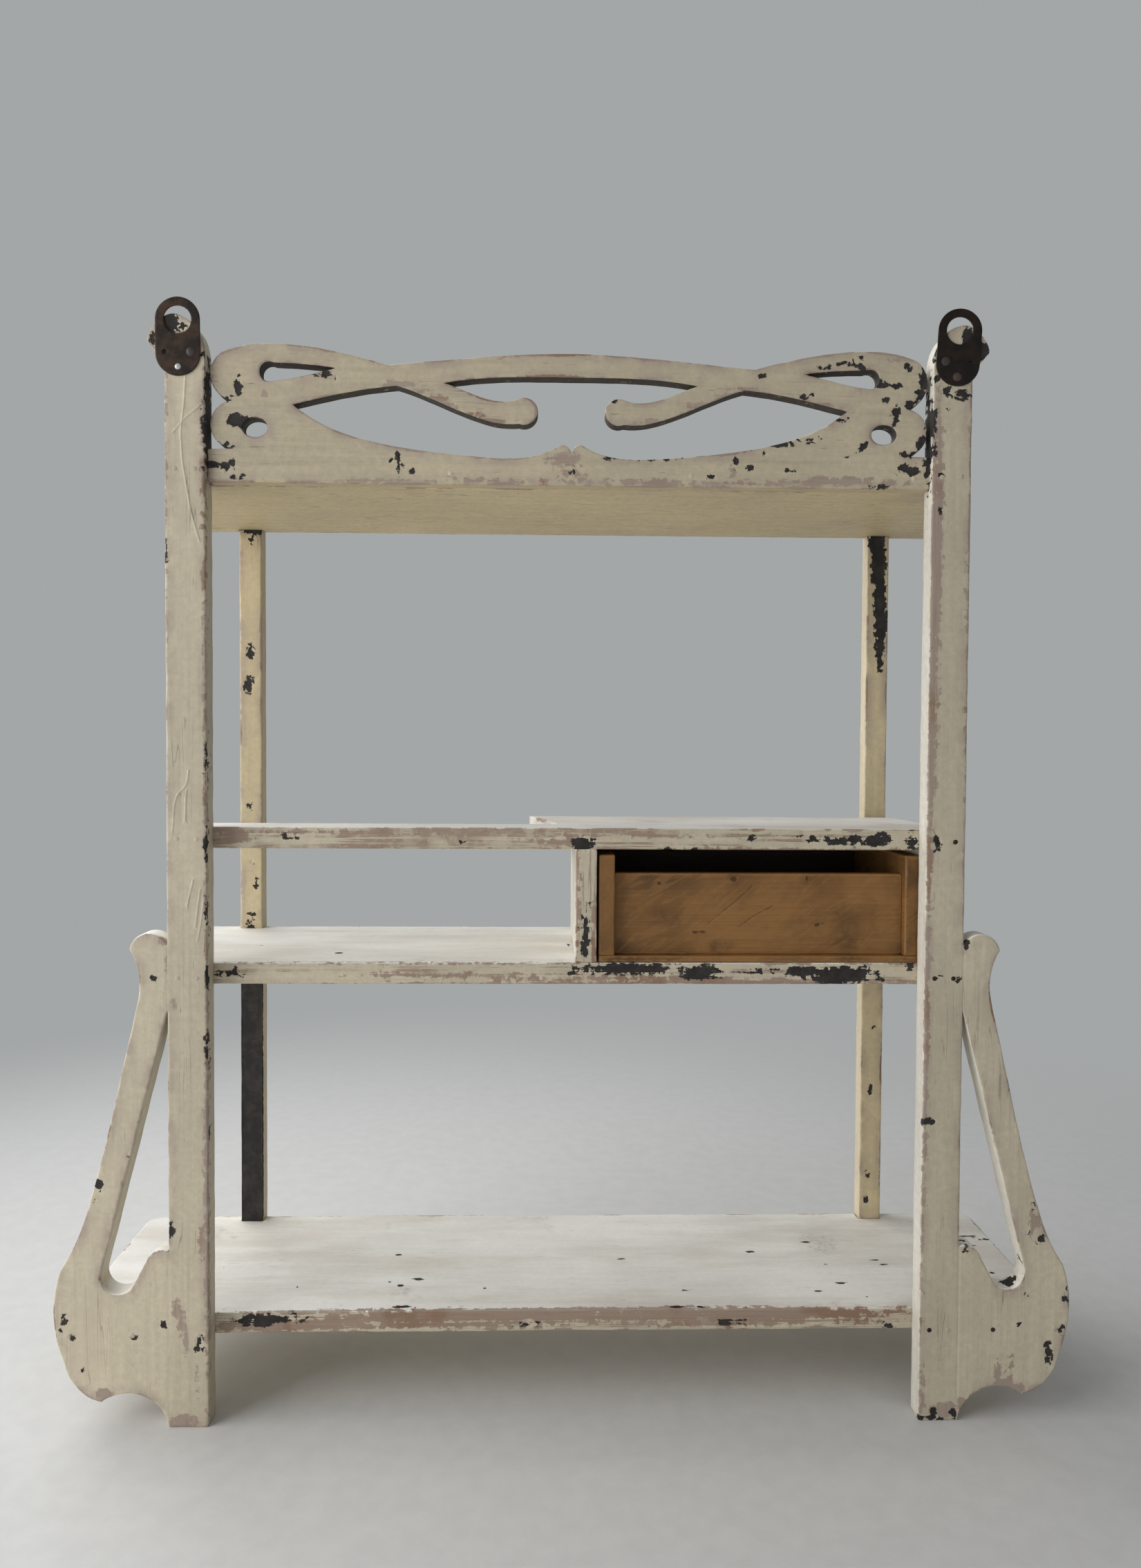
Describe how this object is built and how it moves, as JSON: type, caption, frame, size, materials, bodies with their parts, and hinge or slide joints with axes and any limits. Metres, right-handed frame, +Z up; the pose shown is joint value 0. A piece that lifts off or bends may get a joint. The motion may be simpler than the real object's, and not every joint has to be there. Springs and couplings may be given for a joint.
{
  "type": "wall shelf",
  "caption": "Hanging wall shelf with flat posts, scrolled wings, pierced crest, open shelves and a small drawer under a half-width shelf; hangs from eyes in iron plates.",
  "frame": {"origin": "midpoint between the centres of the two hanging eyes, on the plane of the posts' wall faces", "axes": "+X to the right seen from the wall side, +Y from the wall into the room, +Z up"},
  "size_m": [0.7818, 0.203, 0.8538],
  "materials": {
    "worn_paint": "cream paint worn through to a black layer and bare wood at the edges",
    "bare_wood": "unpainted aged brown softwood",
    "hanger_iron": "dark rusty iron"
  },
  "bodies": {
    "carcass": {"left_post": "worn_paint", "right_post": "worn_paint", "left_wing": "worn_paint", "right_wing": "worn_paint", "crest": "worn_paint", "top_shelf": "worn_paint", "half_shelf": "worn_paint", "middle_shelf": "worn_paint", "bottom_shelf": "worn_paint", "divider": "worn_paint", "end_panel": "worn_paint", "front_post_left": "worn_paint", "front_post_right": "worn_paint", "hanger_plate_left": "hanger_iron", "hanger_plate_right": "hanger_iron"},
    "drawer": {"drawer_left_side": "bare_wood", "drawer_right_side": "bare_wood", "drawer_back": "bare_wood", "drawer_bottom": "bare_wood", "drawer_front": "worn_paint", "drawer_knob": "worn_paint"}
  },
  "joints": [
    {"name": "drawer_slide", "type": "slide", "parent": "carcass", "child": "drawer", "axis": [0, 1, 0], "range_m": [0, 0.12]}
  ]
}
